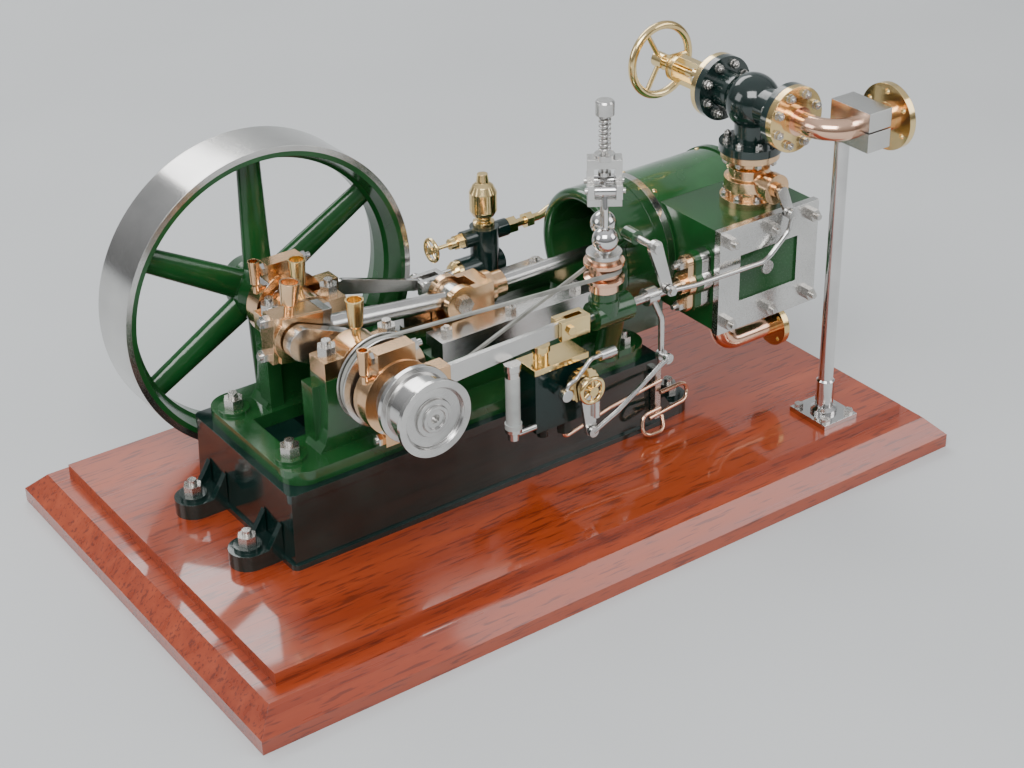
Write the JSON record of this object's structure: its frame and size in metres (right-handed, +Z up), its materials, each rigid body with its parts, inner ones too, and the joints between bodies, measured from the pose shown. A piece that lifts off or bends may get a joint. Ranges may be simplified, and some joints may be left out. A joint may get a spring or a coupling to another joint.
{
  "type": "model steam engine",
  "caption": "Horizontal mill steam engine model on a moulded wooden plinth, with spoked flywheel, crosshead guide, slide-valve cylinder, spring governor, feed pump and lubricator.",
  "frame": {"origin": "centre of the plinth's underside", "axes": "+X from the crank to the cylinder along the plinth's length, +Y from the valve side to the flywheel side, +Z up"},
  "size_m": [0.456, 0.274, 0.24],
  "materials": {
    "mahogany": "gloss varnish",
    "dark_green_paint": "gloss enamel",
    "green_paint": "gloss enamel",
    "lagging_paint": "satin enamel",
    "polished_steel": "bright turned and draw-filed",
    "bronze": "machined gunmetal",
    "brass": "polished",
    "copper": "polished copper",
    "belt": "flat woven belt",
    "glass": "clear"
  },
  "bodies": {
    "frame": {"plinth": "mahogany", "sub_base": "dark_green_paint", "engine_bed": "green_paint", "near_bearing": "bronze", "far_bearing": "bronze", "slide_bars": "polished_steel", "cylinder": "green_paint", "lagging": "lagging_paint", "steam_chest_cover": "polished_steel", "glands": "bronze", "throttle_body": "bronze", "stop_valve_body": "dark_green_paint", "stop_valve_bonnet": "brass", "steam_pipe": "copper", "pipe_clamp": "polished_steel", "support_pillar": "polished_steel", "exhaust_pipe": "copper", "pump_body": "dark_green_paint", "air_vessel": "brass", "pump_fittings": "brass", "governor_bracket": "green_paint", "drive_belt": "belt", "lubricator": "dark_green_paint", "sight_glass": "glass", "oil_pipes": "copper", "hex_nuts": "polished_steel"},
    "crank": {"crankshaft": "polished_steel", "flywheel": "green_paint", "governor_drive_pulley": "polished_steel", "output_pulley": "polished_steel"},
    "crosshead": {"crosshead": "bronze", "slipper": "bronze", "crosshead_pin": "polished_steel", "piston_rod": "polished_steel", "piston": "polished_steel"},
    "rod": {"connecting_rod": "polished_steel", "big_end": "bronze", "crankpin": "polished_steel"},
    "valve_eccentric": {"valve_strap": "bronze", "valve_eccentric_rod": "polished_steel"},
    "pump_eccentric": {"pump_strap": "bronze", "pump_rod": "polished_steel"},
    "valve": {"valve_clevis": "brass", "valve_spindle": "polished_steel", "lubricator_link": "polished_steel"},
    "ram": {"pump_ram": "polished_steel"},
    "governor": {"governor_pulley": "bronze", "governor_yoke": "polished_steel"},
    "ball_near": {"governor_arm_near": "polished_steel"},
    "ball_far": {"governor_arm_far": "polished_steel"},
    "spindle": {"governor_spindle": "polished_steel", "governor_spring": "polished_steel"},
    "lever": {"governor_lever": "polished_steel"},
    "throttle_rod": {"throttle_rod": "polished_steel"},
    "throttle_lever": {"throttle_lever": "polished_steel"},
    "handwheel": {"stop_valve_handwheel": "brass"},
    "bypass": {"pump_bypass": "brass"},
    "ratchet": {"ratchet_wheel": "brass"},
    "ratchet_lever": {"ratchet_lever": "polished_steel"},
    "pawl": {"pawl_lever": "polished_steel"}
  },
  "joints": [
    {"name": "crank_turn", "type": "hinge", "parent": "frame", "child": "crank", "pos_m": [-0.099, 0.003, 0.119], "axis": [0, 1, 0], "continuous": true},
    {"name": "crosshead_slide", "type": "slide", "parent": "frame", "child": "crosshead", "axis": [1, 0, 0], "range_m": [-0.00212, 0.04868]},
    {"name": "rod_swing", "type": "hinge", "parent": "crosshead", "child": "rod", "pos_m": [-0.02029, 0.003, 0.119], "axis": [0, 1, 0], "range_deg": [-20.91, 7.93]},
    {"name": "valve_strap_turn", "type": "hinge", "parent": "crank", "child": "valve_eccentric", "pos_m": [-0.099, -0.06, 0.116], "axis": [0, 1, 0], "continuous": true},
    {"name": "pump_strap_turn", "type": "hinge", "parent": "crank", "child": "pump_eccentric", "pos_m": [-0.099, 0.049, 0.122], "axis": [0, 1, 0], "continuous": true},
    {"name": "valve_slide", "type": "slide", "parent": "frame", "child": "valve", "axis": [1, 0, 0], "range_m": [-0.003, 0.003]},
    {"name": "ram_slide", "type": "slide", "parent": "frame", "child": "ram", "axis": [1, 0, 0], "range_m": [-0.003, 0.003]},
    {"name": "governor_turn", "type": "hinge", "parent": "frame", "child": "governor", "pos_m": [0.034, -0.06, 0.19], "axis": [0, 0, 1], "continuous": true},
    {"name": "ball_near_swing", "type": "hinge", "parent": "governor", "child": "ball_near", "pos_m": [0.03021, -0.06541, 0.193], "axis": [0.8192, -0.5736, 0], "range_deg": [-20, 0], "stiffness_Nm_per_rad": 0.02, "springref_deg": 22.92},
    {"name": "ball_far_swing", "type": "hinge", "parent": "governor", "child": "ball_far", "pos_m": [0.03779, -0.05459, 0.193], "axis": [0.8192, -0.5736, 0], "range_deg": [0, 20], "stiffness_Nm_per_rad": 0.02, "springref_deg": -22.92},
    {"name": "spindle_lift", "type": "slide", "parent": "governor", "child": "spindle", "axis": [0, 0, -1], "range_m": [0, 0.0016], "stiffness_N_per_m": 60, "springref_m": -0.002, "deforming": ["governor_spring"]},
    {"name": "governor_lever_swing", "type": "hinge", "parent": "frame", "child": "lever", "pos_m": [0.057, -0.074, 0.156], "axis": [0, 1, 0], "range_deg": [-5, 5]},
    {"name": "throttle_rod_swing", "type": "hinge", "parent": "lever", "child": "throttle_rod", "pos_m": [0.066, -0.077, 0.129], "axis": [0, 1, 0], "range_deg": [-5, 5]},
    {"name": "throttle_lever_swing", "type": "hinge", "parent": "frame", "child": "throttle_lever", "pos_m": [0.146, -0.0744, 0.163], "axis": [0, 1, 0], "range_deg": [-18, 18]},
    {"name": "handwheel_turn", "type": "hinge", "parent": "frame", "child": "handwheel", "pos_m": [0.146, 0, 0.208], "axis": [0, 1, 0], "continuous": true},
    {"name": "bypass_turn", "type": "hinge", "parent": "frame", "child": "bypass", "pos_m": [0, 0.049, 0.125], "axis": [1, 0, 0], "continuous": true},
    {"name": "ratchet_turn", "type": "hinge", "parent": "frame", "child": "ratchet", "pos_m": [0.011, -0.07, 0.088], "axis": [0, 1, 0], "continuous": true},
    {"name": "ratchet_lever_swing", "type": "hinge", "parent": "frame", "child": "ratchet_lever", "pos_m": [0.011, -0.0748, 0.088], "axis": [0, 1, 0], "range_deg": [-6, 6]},
    {"name": "pawl_swing", "type": "hinge", "parent": "frame", "child": "pawl", "pos_m": [-0.003, -0.075, 0.088], "axis": [0, 1, 0], "range_deg": [-6, 0]}
  ],
  "couplings": [
    {"joint": "valve_strap_turn", "follows": "crank_turn", "ratio": -1},
    {"joint": "pump_strap_turn", "follows": "crank_turn", "ratio": -1},
    {"joint": "governor_turn", "follows": "crank_turn", "ratio": 2.73},
    {"joint": "throttle_rod_swing", "follows": "governor_lever_swing", "ratio": -1}
  ]
}
